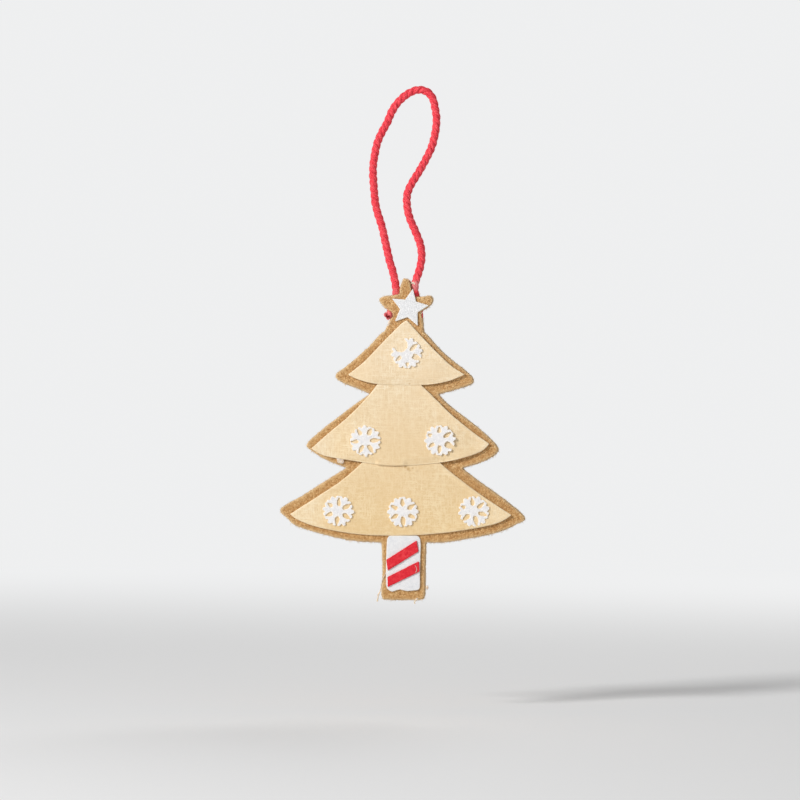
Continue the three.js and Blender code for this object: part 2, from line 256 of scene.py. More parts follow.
def finishMaterial(tree, height, s, values):
    inputs = {"Height": height, "Strength": s["bump"], "Distance": s["bumpDepth"] * mm}
    bump = put(tree, "ShaderNodeBump", inputs)
    shader = put(tree, "ShaderNodeBsdfPrincipled", {**values, "Normal": bump[0]})
    put(tree, "ShaderNodeOutputMaterial", {"Surface": shader[0]})


def markOn(tree, name):
    # A number that the mesh's points carry
    return put(tree, "ShaderNodeAttribute", attribute_name=name)["Fac"]


def noiseAt(tree, vector, scale, detail=3.0, roughness=0.6):
    return put(tree, "ShaderNodeTexNoise", {
        "Vector": vector, "Scale": scale, "Detail": detail, "Roughness": roughness,
    })[0]


def threadNoise(tree, vector, angle, along, across):
    # Fibres that lie in the sheet's own plane, at an angle to the level
    turned = put(tree, "ShaderNodeMapping", {"Vector": vector, "Rotation": (0, angle, 0)})[0]
    drawn = put(tree, "ShaderNodeMapping", {"Vector": turned, "Scale": (along, across, across)})[0]
    return noiseAt(tree, drawn, 1.0, detail=2.0, roughness=0.5)


def rampOf(tree, factor, stops):
    ramp = put(tree, "ShaderNodeValToRGB", {"Fac": factor})
    points = ramp[0].node.color_ramp.elements
    while len(points) < len(stops):
        points.new(0.5)
    for point, (place, colour) in zip(points, stops):
        point.position, point.color = place, colour
    return ramp["Color"]


def blendColours(tree, factor, first, second, way="MIX"):
    inputs = {0: factor, 6: first, 7: second}
    return put(tree, "ShaderNodeMix", inputs, data_type="RGBA", blend_type=way)[2]


def mottled(tree, value, middle, s):
    # Dark, base and light, spread evenly about a middle value
    spread = s["mottleSpread"]
    stops = [(middle - spread, s["dark"]), (middle, s["base"]), (middle + spread, s["light"])]
    return rampOf(tree, value, stops)


def brokenUp(tree, mark, grain, share, grainShare):
    # A mark made patchy by the grain, whose own middle value is a half
    patches = calc(tree, "MULTIPLY_ADD", grain, grainShare, share - grainShare / 2)
    return times(tree, mark, patches)


def tinted(tree, colour, value, s):
    share = ranged(tree, value, s["from"], s["to"])
    return blendColours(tree, share, colour, (*s["tint"], 1), "MULTIPLY")


def makeFelt(name, s):
    material, tree, place = startMaterial(name)
    clumpScale, clumpShare = s["clump"]
    grainScale, grainShare = s["grain"]
    broadScale, broadShare = s["broad"]
    clump = noiseAt(tree, place, clumpScale, detail=3.0, roughness=0.55)
    grain = noiseAt(tree, place, grainScale, detail=4.0, roughness=0.7)
    threads = None
    for angle in s["threadAngles"]:
        one = threadNoise(tree, place, math.radians(angle), s["threadAlong"], s["threadAcross"])
        threads = one if threads is None else calc(tree, "MAXIMUM", threads, one)
    mottle = times(tree, clump, clumpShare)
    mottle = calc(tree, "MULTIPLY_ADD", grain, grainShare, mottle)
    mottle = calc(tree, "MULTIPLY_ADD", threads, s["threadShare"], mottle)
    middle = 0.5 * (clumpShare + grainShare) + s["threadLevel"] * s["threadShare"]
    colour = mottled(tree, mottle, middle, s)
    broad = noiseAt(tree, place, broadScale, detail=2.0, roughness=0.5)
    broad = ranged(tree, broad, lowNoise, highNoise, broadShare)
    colour = blendColours(tree, broad, colour, s["broadColour"])
    places = put(tree, "ShaderNodeSeparateXYZ", {0: place})
    # Paler up the tree: painted light from above, on the cream partly the tiers' own tones
    if "pale" in s:
        colour = tinted(tree, colour, places["Z"], s["pale"])
    if "wings" in s:
        across = calc(tree, "SUBTRACT", places["X"], s["wings"]["middle"])
        colour = tinted(tree, colour, calc(tree, "ABSOLUTE", across), s["wings"])
    # Real brown smudges, and painted shade under the cream tiers' lower edges
    if "stainAndShade" in s:
        stainAndShade = brokenUp(tree, markOn(tree, "stainAndShade"), grain, s["stainAndShadeShare"], s["stainAndShadeGrain"])
        colour = blendColours(tree, stainAndShade, colour, s["stainAndShade"])
    # The cut edges blend towards the edge colour: a painted highlight where loose fibres catch the light; the
    # red felt's edge colour is darker
    edge = brokenUp(tree, markOn(tree, "cutEdge"), grain, s["edgeShare"], edgeGrain)
    colour = blendColours(tree, edge, colour, s["edge"])
    finishMaterial(tree, calc(tree, "ADD", threads, grain), s, {
        "Base Color": colour,
        "Roughness": 0.95,
        "Specular IOR Level": 0.12,
        "Sheen Weight": s["sheen"],
        "Sheen Roughness": 0.45,
        "Sheen Tint": s["light"],
    })
    return material


# A clump, grain or broad value is waves a millimetre, then a share of the colour. A thread level is the
# threads' middle value, higher the more ways they lie. The paler tint up the tree is painted light from
# above, on the cream partly the tiers' own tones; the wings' tint comes in away from a middle.
brownFeltLook = {
    "dark": srgb(162, 112, 66), "base": srgb(202, 155, 99), "light": srgb(236, 199, 145),
    "edge": srgb(235, 206, 160), "broadColour": srgb(193, 143, 87),
    "clump": (1.0, 0.24), "grain": (1.7, 0.4), "broad": (0.12, 0.3),
    "threadAngles": (12, 58, 101, 149), "threadAlong": 0.6, "threadAcross": 4.6,
    "threadShare": 0.32, "threadLevel": 0.585,
    "mottleSpread": 0.08, "edgeShare": 0.75, "bump": 1.0, "bumpDepth": 0.27, "sheen": 0.3,
    # painted light: paler up the tree, the lower brown in painted shade
    "pale": {"from": -200.0, "to": -80.0, "tint": (1.06, 1.09, 1.16)},
}
creamFeltLook = {
    "dark": srgb(226, 195, 145), "base": srgb(234, 206, 159), "light": srgb(241, 218, 176),
    "edge": srgb(250, 232, 198), "broadColour": srgb(230, 198, 148),
    "clump": (0.55, 0.22), "grain": (2.4, 0.36), "broad": (0.06, 0.5),
    "threadAngles": (0, 90), "threadAlong": 0.2, "threadAcross": 2.6,
    "threadShare": 0.4, "threadLevel": 0.545,
    "mottleSpread": 0.075, "edgeShare": 0.5, "bump": 0.4, "bumpDepth": 0.06, "sheen": 0.08,
    # partly the tiers' own tones, partly painted light from above
    "pale": {"from": -174.0, "to": -98.0, "tint": (1.06, 1.15, 1.42)},
    "wings": {"middle": -6.0, "from": 26.0, "to": 37.0, "tint": (1.05, 1.11, 1.25)},
    # the smudges' brown, also painted as shade under the tiers' lower edges
    "stainAndShade": srgb(186, 142, 84), "stainAndShadeShare": 0.7, "stainAndShadeGrain": 1.6,
}
whiteFeltLook = {
    "dark": srgb(222, 223, 226), "base": srgb(232, 232, 232), "light": srgb(241, 240, 240),
    "edge": srgb(247, 240, 226), "broadColour": srgb(228, 228, 232),
    "clump": (0.8, 0.3), "grain": (2.6, 0.35), "broad": (0.15, 0.3),
    "threadAngles": (25, 95, 150), "threadAlong": 0.5, "threadAcross": 3.0,
    "threadShare": 0.33, "threadLevel": 0.57,
    "mottleSpread": 0.1, "edgeShare": 0.35, "bump": 0.6, "bumpDepth": 0.096, "sheen": 0.08,
}
flakeFeltLook = {
    **whiteFeltLook,
    "dark": srgb(226, 224, 226), "base": srgb(239, 236, 234), "light": srgb(250, 247, 244),
    # the rims' warm edge colour is a painted highlight
    "edge": srgb(252, 240, 220),
    "edgeShare": 0.6, "bump": 0.8,
}
redFeltLook = {
    **whiteFeltLook,
    "dark": srgb(206, 38, 50), "base": srgb(228, 52, 63), "light": srgb(238, 80, 84),
    "edge": srgb(206, 46, 62), "broadColour": srgb(218, 42, 54),
    "clump": (0.9, 0.34), "grain": (2.6, 0.36), "broad": (0.2, 0.4),
    "threadAngles": (20, 80, 140), "threadShare": 0.28, "edgeShare": 0.1, "bump": 0.7, "sheen": 0.1,
}
cordLook = {
    "dark": srgb(198, 34, 50), "base": srgb(238, 72, 84), "light": srgb(255, 116, 120),
    # soaked is glue soaked into the yarn; the dark red is painted shade in the creases between strands and at
    # the cut ends
    "soaked": srgb(244, 170, 168), "inside": srgb(126, 10, 20),
    "fibreWind": 0.12,  # turns a millimetre
    "streakRing": 2.5,  # the streaks' noise is read round a ring of this radius
    "streakAlong": 0.9375, "streakShare": 0.62,
    "grainScale": 2.4, "mottleSpread": 0.16, "soakedShare": 0.75, "soakedGrain": 1.3,
    "bump": 0.6, "bumpDepth": 0.2,
}
glueLook = {
    "colour": srgb(226, 204, 180), "cloudy": srgb(240, 222, 203), "cloudScale": 0.9,
    "roughness": 0.34, "clear": 0.08, "milky": 0.6, "depth": (0.9, 0.8, 0.65),
    "bumpScale": 1.4, "bump": 0.3, "bumpDepth": 0.15,
}


def makeCordYarn(name, s):
    # Fibres run along each strand, wound a little the other way
    material, tree, place = startMaterial(name)
    along = markOn(tree, "alongStrand")
    wound = calc(tree, "MULTIPLY_ADD", along, s["fibreWind"], markOn(tree, "aroundStrand"))
    turn = times(tree, wound, 2 * math.pi)
    ring = put(tree, "ShaderNodeCombineXYZ", {
        0: times(tree, calc(tree, "COSINE", turn), s["streakRing"]),
        1: times(tree, calc(tree, "SINE", turn), s["streakRing"]),
        2: times(tree, along, s["streakAlong"]),
    })[0]
    streak = noiseAt(tree, ring, 1.0, detail=3.0, roughness=0.6)
    grain = noiseAt(tree, place, s["grainScale"], detail=3.0, roughness=0.65)
    mottle = times(tree, grain, 1 - s["streakShare"])
    mottle = calc(tree, "MULTIPLY_ADD", streak, s["streakShare"], mottle)
    colour = mottled(tree, mottle, 0.5, s)
    soaked = brokenUp(tree, markOn(tree, "soaked"), grain, s["soakedShare"], s["soakedGrain"])
    colour = blendColours(tree, soaked, colour, s["soaked"])
    # Painted shade: dark red in the creases between the strands and in the middles of the cut ends
    colour = blendColours(tree, markOn(tree, "inside"), colour, s["inside"])
    finishMaterial(tree, mottle, s, {
        "Base Color": colour,
        "Roughness": 0.85,
        "Specular IOR Level": 0.2,
        "Sheen Weight": 0.3,
        "Sheen Roughness": 0.4,
        "Sheen Tint": s["light"],
    })
    return material


def makeGlue(name, s):
    material, tree, place = startMaterial(name)
    cloud = noiseAt(tree, place, s["cloudScale"], detail=3.0, roughness=0.6)
    colour = rampOf(tree, cloud, [(lowNoise, s["colour"]), (highNoise, s["cloudy"])])
    finishMaterial(tree, noiseAt(tree, place, s["bumpScale"], detail=2.0, roughness=0.5), s, {
        "Base Color": colour,
        "Roughness": s["roughness"],
        "IOR": 1.48,
        "Transmission Weight": s["clear"],
        "Subsurface Weight": s["milky"],
        "Subsurface Radius": s["depth"],
        "Subsurface Scale": mm,
    })
    return material


brownFelt = makeFelt("brown_felt", brownFeltLook)
creamFelt = makeFelt("cream_felt", creamFeltLook)
whiteFelt = makeFelt("white_felt", whiteFeltLook)
flakeFelt = makeFelt("white_flake_felt", flakeFeltLook)
redFelt = makeFelt("red_felt", redFeltLook)
redYarn = makeCordYarn("red_yarn", cordLook)
driedGlue = makeGlue("dried_glue", glueLook)
print("materials are mixed")


# Geometry trees

def startTree(name, values):
    # values holds each named input's default; the material has none
    kinds = {float: "NodeSocketFloat", int: "NodeSocketInt"}
    tree = bpy.data.node_groups.new(name, "GeometryNodeTree")
    face = tree.interface
    face.new_socket("Geometry", in_out="INPUT", socket_type="NodeSocketGeometry")
    for label, value in values.items():
        face.new_socket(label, in_out="INPUT", socket_type=kinds[type(value)]).default_value = value
    face.new_socket("Material", in_out="INPUT", socket_type="NodeSocketMaterial")
    face.new_socket("Geometry", in_out="OUTPUT", socket_type="NodeSocketGeometry")
    return tree, put(tree, "NodeGroupInput")


def endTree(tree, geometry, material):
    real = put(tree, "GeometryNodeRealizeInstances", {"Geometry": geometry})[0]
    painted = put(tree, "GeometryNodeSetMaterial", {"Geometry": real, "Material": material})[0]
    put(tree, "NodeGroupOutput", {0: painted})
    return tree


def markAt(tree, name):
    return put(tree, "GeometryNodeInputNamedAttribute", {"Name": name}, data_type="FLOAT")[0]


def marked(tree, geometry, name, value, domain="POINT"):
    inputs = {"Geometry": geometry, "Name": name, "Value": value}
    kind = "GeometryNodeStoreNamedAttribute"
    return put(tree, kind, inputs, data_type="FLOAT", domain=domain)[0]


def scaledVector(tree, vector, share):
    inputs = {0: vector, "Scale": share}
    return put(tree, "ShaderNodeVectorMath", inputs, operation="SCALE")[0]


def sweep(tree, curve, section, share):
    # A section swept along a curve, its size a share that may change on the way
    inputs = {"Curve": curve, "Profile Curve": section, "Scale": share, "Fill Caps": True}
    return put(tree, "GeometryNodeCurveToMesh", inputs)[0]


def meshFrom(body):
    # The plain mesh of an object with its modifiers done; the object itself goes
    bpy.context.view_layer.update()
    mesh = bpy.data.meshes.new_from_object(body.evaluated_get(bpy.context.evaluated_depsgraph_get()))
    data = body.data
    bpy.data.objects.remove(body)
    bpy.data.batch_remove([data])
    return mesh


def grown(data, tree, values):
    # What a geometry tree makes of a mesh or curve
    body = addObject("growing", data)
    modifier = body.modifiers.new("growing", "NODES")
    modifier.node_group = tree
    sockets = {item.name: item.identifier for item in tree.interface.items_tree if item.in_out == "INPUT"}
    for label, value in values.items():
        modifier[sockets[label]] = value
    return meshFrom(body)


def reliefTree():
    tree, given = startTree("sheet_relief", {
        "Swell": 0.05, "Fine Depth": 0.05, "Fine Scale": 1.2, "Broad Depth": 0.1, "Broad Scale": 0.12,
        "Edge Roughness": 0.0, "Seed": 1.0,
    })
    place = put(tree, "GeometryNodeInputPosition")[0]

    def wave(scale):
        inputs = {"Vector": place, "W": given["Seed"], "Scale": scale, "Detail": 2.0}
        ripple = put(tree, "ShaderNodeTexNoise", inputs, noise_dimensions="4D")[0]
        return calc(tree, "SUBTRACT", ripple, 0.5)

    depth = calc(tree, "MULTIPLY_ADD", markAt(tree, "cutEdge"), given["Edge Roughness"], 1.0)
    depth = times(tree, given["Fine Depth"], depth)
    away = calc(tree, "MULTIPLY_ADD", wave(given["Fine Scale"]), depth, given["Swell"])
    away = scaledVector(tree, put(tree, "GeometryNodeInputNormal")[0], away)
    lifted = times(tree, wave(given["Broad Scale"]), given["Broad Depth"])
    lifted = put(tree, "ShaderNodeCombineXYZ", {"Y": lifted})[0]
    moved = put(tree, "GeometryNodeSetPosition", {
        "Geometry": given["Geometry"], "Offset": vectorCalc(tree, "ADD", away, lifted),
    })[0]
    return endTree(tree, moved, given["Material"])


def hairKind(length, thickness, lean, face=0.0, edge=0.0, tufts=0.0, paleness=0.5):
    # One kind of loose fibre, and how many a square millimetre on bare faces, cut edges and undersides
    # A fibre's paleness is how much of the felt's edge colour, a painted highlight, it takes
    return {
        "Face Density": face, "Edge Density": edge, "Tuft Density": tufts, "Shortest": length[0],
        "Longest": length[1], "Thickness": thickness, "Least Lean": lean[0], "Most Lean": lean[1],
        "Paleness": paleness,
    }


def fibreTree():
    plain = hairKind(length=(0.5, 1.2), thickness=0.06, lean=(0.3, 1.3))
    tree, given = startTree("loose_fibres", {**plain, "Seed": 1})

    def drawn(least, most, apart):
        # A number for each fibre, from a seed this far from the given one
        inputs = {2: least, 3: most, "Seed": calc(tree, "ADD", given["Seed"], apart)}
        return put(tree, "FunctionNodeRandomValue", inputs, data_type="FLOAT")[1]

    def turnedBy(rotation, axis, angle):
        # A rotation turned further, about one of its own axes
        angles = put(tree, "ShaderNodeCombineXYZ", {axis: angle})[0]
        further = put(tree, "FunctionNodeEulerToRotation", {0: angles})[0]
        inputs = {0: rotation, 1: further}
        return put(tree, "FunctionNodeRotateRotation", inputs, rotation_space="LOCAL")[0]

    edge = calc(tree, "POWER", markAt(tree, "cutEdge"), 2.0)
    density = times(tree, markAt(tree, "bare"), given["Face Density"])
    density = calc(tree, "MULTIPLY_ADD", edge, given["Edge Density"], density)
    density = calc(tree, "MULTIPLY_ADD", markAt(tree, "underside"), given["Tuft Density"], density)
    scattered = put(tree, "GeometryNodeDistributePointsOnFaces", {
        "Mesh": given["Geometry"], "Density": density, "Seed": given["Seed"],
    }, distribute_method="RANDOM")
    # One bent fibre of unit length, tapered to its tip
    bow = put(tree, "GeometryNodeCurvePrimitiveBezierSegment", {
        "Resolution": 2, "Start": (0, 0, -0.06), "Start Handle": (0.013, 0, 0.38),
        "End Handle": (0.15, 0.03, 0.7), "End": (0.42, 0.08, 0.9),
    })[0]
    tipLoss = -0.7
    taper = calc(tree, "MULTIPLY_ADD", put(tree, "GeometryNodeSplineParameter")["Factor"], tipLoss, 1.0)
    section = put(tree, "GeometryNodeCurvePrimitiveCircle", {
        "Resolution": 3, "Radius": times(tree, given["Thickness"], 0.5),
    })[0]
    turned = turnedBy(scattered["Rotation"], "Z", drawn(0.0, 2 * math.pi, apart=0))
    placed = put(tree, "GeometryNodeInstanceOnPoints", {
        "Points": scattered["Points"],
        "Instance": sweep(tree, bow, section, taper),
        "Rotation": turnedBy(turned, "Y", drawn(given["Least Lean"], given["Most Lean"], apart=11)),
        "Scale": drawn(given["Shortest"], given["Longest"], apart=23),
    })[0]
    real = put(tree, "GeometryNodeRealizeInstances", {"Geometry": placed})[0]
    # the fibres take the painted edge highlight as far as their paleness
    return endTree(tree, marked(tree, real, "cutEdge", given["Paleness"]), given["Material"])


sheetRelief = reliefTree()
looseFibres = fibreTree()
print("geometry trees are ready")


# Finishing

def scaledBy(mesh, share):
    mesh.transform(Matrix.Scale(share, 4))
    mesh.update()
    return mesh


def piece(name, mesh):
    # A finished mesh in millimetres becomes a piece in metres, its object at the origin
    scaledBy(mesh, mm)
    mesh.polygons.foreach_set("use_smooth", [True] * len(mesh.polygons))
    mesh.name = name
    made = addObject(name, mesh)
    return made


def meshOf(shape, name):
    # What a bmesh holds, as a mesh
    mesh = bpy.data.meshes.new(name)
    shape.to_mesh(mesh)
    shape.free()
    return mesh


def joined(meshes):
    shape = bmesh.new()
    painted = list(meshes[0].materials)
    for mesh in meshes:
        shape.from_mesh(mesh)
        bpy.data.meshes.remove(mesh)
    mesh = meshOf(shape, "joined")
    for material in painted:
        mesh.materials.append(material)
    return mesh


def vectors(items, key):
    flat = np.empty(len(items) * 3, np.float32)
    items.foreach_get(key, flat)
    return flat.reshape(-1, 3)


def points(mesh):
    return vectors(mesh.vertices, "co").astype(float)


def setPoints(mesh, places):
    mesh.vertices.foreach_set("co", places.astype(np.float32).ravel())
    mesh.update()


def nearestAmong(places):
    tree = KDTree(len(places))
    for i, place in enumerate(places):
        tree.insert(place, i)
    tree.balance()
    return tree


def hairsOn(mesh, kinds, material, seed, apart):
    return joined([
        grown(mesh.copy(), looseFibres, {**kind, "Seed": seed + apart * number, "Material": material})
        for number, kind in enumerate(kinds)
    ])


def smoothstep(value, low, high):
    share = np.clip((value - low) / (high - low), 0, 1)
    return share * share * (3 - 2 * share)


def store(mesh, name, values):
    attribute = mesh.attributes.new(name, "FLOAT", "POINT")
    attribute.data.foreach_set("value", values.astype(np.float32))


# Cord: one length of three-strand cord, from its left cut end round the loop to the right one

cordSettings = {
    "diameter": 3.2,
    "twist": {
        "Strands": 3, "Strand Radius": 0.93, "Strand Offset": 0.70, "Lay Length": 8.0, "Unevenness": 0.3,
        "Splay": 0.15, "Splay Length": 2.0, "Tip Length": 1.2, "Tip Share": 1.1, "Sides": 14, "Seed": 4.0,
    },
    "seed": 5,
    "step": 0.35,
    "middle": -5.5,  # the left strand's end lies left of here, the right one's right of it
    "pressedShare": 0.66,
    "pressLength": 3.0,
    "pressTop": (-80.4, -78.8),  # where the left and the right end are flat between the layers
    "endReach": (-0.25, -2.3, -0.15),  # how the left cut end bends out of the felt's notch
    "endReachLength": 3.4,
    "endFree": (0.8, 3.2),  # from its tip to here it isn't pressed flat
    "insideFade": (0.95, 0.45),  # painted shade in the twist's creases, by distance from the cord's middle
    "insideShare": 0.4,  # along the cord, more towards the left cut end
    "insideEnd": (3.0, 0.6),
    "endShadeSpread": 0.3,  # near the cut end the painted crease shade reaches further out
    "endShadeSpreadFade": (1.0, 0.0),
    "soakedTop": (-78.0, -75.0),  # glue has soaked into the left and the right strand between these heights
    "soakedBottom": (-81.5, -78.6),
    "soakedBlur": 0.6,
    "soakedShare": (0.35, 0.8),
    "endSoaked": 0.5,
    "endSoakedFade": (2.2, 0.4),
    "cutReach": (2.2, 1.2),
    "bendStart": (-0.006, 0, -0.066),  # where the strands would bend as the tree swings, in metres
    "bendEnd": (-0.006, 0, -0.0752),
    "hairs": [
        hairKind((0.5, 1.1), 0.055, (1.2, 1.5), face=2.2),
        hairKind((0.3, 0.7), 0.04, (0.3, 1.1), face=1.3, edge=1.0),
    ],
}
# In metres, from the left cut end past the tree's hinge, round the loop and past the hinge to the right end
cordRoute = [
    (-0.0123, 0, -0.089), (-0.0106, 0, -0.0862), (-0.0095, 0, -0.0834), (-0.0091, 0, -0.0804),
    (-0.0092, 0, -0.0778), (-0.0096, 0, -0.075), (-0.0103, 0, -0.072), (-0.0109, 0, -0.0697),
    (-0.0117, 0.0002, -0.0673), (-0.0124, 0.0004, -0.0642), (-0.0133, 0.0007, -0.06),
    (-0.0143, 0.001, -0.0553), (-0.0152, 0.0012, -0.0518), (-0.0166, 0.0014, -0.0476),
    (-0.0175, 0.0015, -0.0434), (-0.0179, 0.0015, -0.0393), (-0.0183, 0.0014, -0.0342),
    (-0.0184, 0.0012, -0.0298), (-0.0178, 0.001, -0.025), (-0.0166, 0.0007, -0.0196),
    (-0.0149, 0.0005, -0.0156), (-0.0127, 0.0003, -0.0116), (-0.0112, 0.0002, -0.0079),
    (-0.0086, 0.0001, -0.0038), (-0.0044, 0, -0.0001), (0, 0, 0.0015), (0.0035, 0, 0.0005),
    (0.0055, 0, -0.0021), (0.0064, -0.0002, -0.0056), (0.007, -0.0004, -0.0098), (0.0066, -0.0007, -0.0151),
    (0.0051, -0.001, -0.0213), (0.0028, -0.0013, -0.0263), (-0.0002, -0.0015, -0.0317),
    (-0.003, -0.0016, -0.0362), (-0.0047, -0.0015, -0.0403), (-0.0048, -0.0013, -0.044),
    (-0.004, -0.001, -0.049), (-0.0014, -0.0007, -0.0553), (0.0006, -0.0004, -0.0607),
    (0.0011, -0.0002, -0.0656), (0.0004, 0, -0.0697), (-0.0003, 0, -0.072), (-0.0011, 0, -0.0745),
    (-0.0017, 0, -0.0772), (-0.0016, 0, -0.08), (-0.0011, 0, -0.083), (-0.0004, 0, -0.0864),
    (0.0004, 0, -0.0897),
]


def cordTree():
    tree, given = startTree("twisted_cord", cordSettings["twist"])
    copies = put(tree, "GeometryNodeDuplicateElements", {
        "Geometry": given["Geometry"], "Amount": given["Strands"],
    }, domain="SPLINE")
    spline = put(tree, "GeometryNodeSplineParameter")
    length = spline["Length"]
    strands = marked(tree, copies["Geometry"], "strand", copies["Duplicate Index"], "CURVE")
    strands = marked(tree, strands, "alongStrand", length)
    strand = markAt(tree, "strand")
    laid = calc(tree, "DIVIDE", length, given["Lay Length"])
    turns = calc(tree, "SUBTRACT", calc(tree, "DIVIDE", strand, given["Strands"]), laid)
    angle = times(tree, turns, 2 * math.pi)
    normal = put(tree, "GeometryNodeInputNormal")[0]
    side = vectorCalc(tree, "CROSS_PRODUCT", put(tree, "GeometryNodeInputTangent")[0], normal)
    ahead = scaledVector(tree, normal, calc(tree, "COSINE", angle))
    aside = scaledVector(tree, side, calc(tree, "SINE", angle))
    out = vectorCalc(tree, "ADD", ahead, aside)
    near = calc(tree, "SUBTRACT", 1.0, calc(tree, "DIVIDE", length, given["Splay Length"]))
    near = calc(tree, "MAXIMUM", near, 0.0)
    near = times(tree, near, near)
    spread = calc(tree, "MULTIPLY_ADD", near, given["Splay"], 1.0)
    spread = times(tree, given["Strand Offset"], spread)
    moved = put(tree, "GeometryNodeSetPosition", {
        "Geometry": strands, "Offset": scaledVector(tree, out, spread),
    })[0]
    wanderPace, strandApart = 0.35, 7.3
    wander = put(tree, "ShaderNodeCombineXYZ", {
        "X": times(tree, length, wanderPace),
        "Y": times(tree, strand, strandApart),
        "Z": given["Seed"],
    })[0]
    uneven = calc(tree, "SUBTRACT", noiseAt(tree, wander, 1.0, detail=2.0, roughness=0.5), 0.5)
    uneven = calc(tree, "MULTIPLY_ADD", uneven, given["Unevenness"], 1.0)
    full = calc(tree, "SQRT", calc(tree, "MINIMUM", calc(tree, "DIVIDE", length, given["Tip Length"]), 1.0))
    rest = calc(tree, "SUBTRACT", 1.0, given["Tip Share"])
    tip = calc(tree, "MULTIPLY_ADD", full, rest, given["Tip Share"])
    circle = put(tree, "GeometryNodeCurvePrimitiveCircle", {
        "Resolution": given["Sides"], "Radius": given["Strand Radius"],
    })[0]
    section = marked(tree, circle, "aroundStrand", spline["Factor"])
    return endTree(tree, sweep(tree, moved, section, times(tree, uneven, tip)), given["Material"])


def smoothPath(places, step, between=24):
    # Evenly spaced points on one smooth curve through the places, and its length
    given = [np.array(place, float) for place in places]
    given = [2 * given[0] - given[1], *given, 2 * given[-1] - given[-2]]
    line = []
    for before, start, end, after in zip(given, given[1:], given[2:], given[3:]):
        gaps = [math.sqrt(np.linalg.norm(b - a)) for a, b in ((before, start), (start, end), (end, after))]
        leave = (start - before) / gaps[0] - (end - before) / (gaps[0] + gaps[1]) + (end - start) / gaps[1]
        reach = (end - start) / gaps[1] - (after - start) / (gaps[1] + gaps[2]) + (after - end) / gaps[2]
        leave, reach = leave * gaps[1], reach * gaps[1]
        for t in np.linspace(0, 1, between, endpoint=False):
            line.append(
                (2 * t**3 - 3 * t**2 + 1) * start + (t**3 - 2 * t**2 + t) * leave
                + (3 * t**2 - 2 * t**3) * end + (t**3 - t**2) * reach
            )
    line.append(given[-2])
    line = np.array(line)
    along = np.concatenate([[0], np.cumsum(np.linalg.norm(np.diff(line, axis=0), axis=1))])
    even = np.linspace(0, along[-1], math.ceil(along[-1] / step) + 1)
    return np.stack([np.interp(even, along, line[:, k]) for k in range(3)], axis=1), along[-1]


def curveFrom(places, name):
    curve = bpy.data.curves.new(name, "CURVE")
    curve.dimensions = "3D"
    spline = curve.splines.new("POLY")
    spline.points.add(len(places) - 1)
    spline.points.foreach_set("co", np.hstack([places, np.ones((len(places), 1))]).ravel())
    return curve


def pressFlat(places, fromStart):
    # Between the felt layers the cord is squeezed flat
    s = cordSettings
    left = places[:, 0] < s["middle"]
    top = np.where(left, *s["pressTop"])
    depth = smoothstep(top + s["pressLength"] - places[:, 2], 0, s["pressLength"])
    depth *= smoothstep(fromStart, *s["endFree"])
    places[:, 1] *= 1 + depth * (s["pressedShare"] - 1)
    return places


def pokeCaps(mesh):
    # A point in the middle of each strand's cut face
    shape = bmesh.new()
    shape.from_mesh(mesh)
    bmesh.ops.poke(shape, faces=[face for face in shape.faces if len(face.verts) > 4])
    shape.to_mesh(mesh)
    shape.free()


def makeCord():
    s = cordSettings
    path, length = smoothPath(cordRoute, s["step"] * mm)
    bent = path / mm
    reach = np.maximum(1 - np.arange(len(path)) * s["step"] / s["endReachLength"], 0) ** 2
    bent += reach[:, None] * np.array(s["endReach"])
    mesh = grown(curveFrom(bent, "cord_path"), cordTree(), {"Material": redYarn})
    capped = len(mesh.vertices)
    pokeCaps(mesh)
    places = points(mesh)
    centre = nearestAmong(bent)
    found = [centre.find(place) for place in places]
    fromStart = np.array([item[1] for item in found]) * s["step"]
    fromMiddle = np.array([item[2] for item in found])
    fromMiddle *= 1 - s["endShadeSpread"] * smoothstep(fromStart, *s["endShadeSpreadFade"])
    inside = smoothstep(fromMiddle, *s["insideFade"])
    inside *= s["insideShare"] + (1 - s["insideShare"]) * smoothstep(fromStart, *s["insideEnd"])
    # the middles of the strands' cut faces are fully in painted shade
    inside[capped:] = 1
    store(mesh, "inside", inside)
    places = pressFlat(places, fromStart)
    setPoints(mesh, places)
    left, blur = places[:, 0] < s["middle"], s["soakedBlur"]
    top, bottom = np.where(left, *s["soakedTop"]), np.where(left, *s["soakedBottom"])
    soaked = smoothstep(places[:, 2], top + blur, top - blur)
    soaked *= smoothstep(places[:, 2], bottom - blur, bottom + blur)
    soaked *= np.where(left, *s["soakedShare"])
    endSoaked = s["endSoaked"] * smoothstep(fromStart, *s["endSoakedFade"])
    store(mesh, "soaked", np.maximum(soaked, endSoaked))
    ends = [path[0] / mm, path[-1] / mm]
    near = np.min([np.linalg.norm(places - end, axis=1) for end in ends], axis=0)
    store(mesh, "cutEdge", smoothstep(near, *s["cutReach"]))
    store(mesh, "bare", np.ones(len(places)))
    fuzz = hairsOn(mesh, s["hairs"], redYarn, s["seed"], apart=1)
    cord = piece("red_cord", mesh)
    hairs = piece("red_cord_hairs", fuzz)
    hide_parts("hanging_loop", "left_cord_end", "right_cord_end")
    for part in (cord, hairs):
        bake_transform(part)
    print(f"cord is {length / mm:.0f} mm long")


makeCord()


# Sheets cut from felt

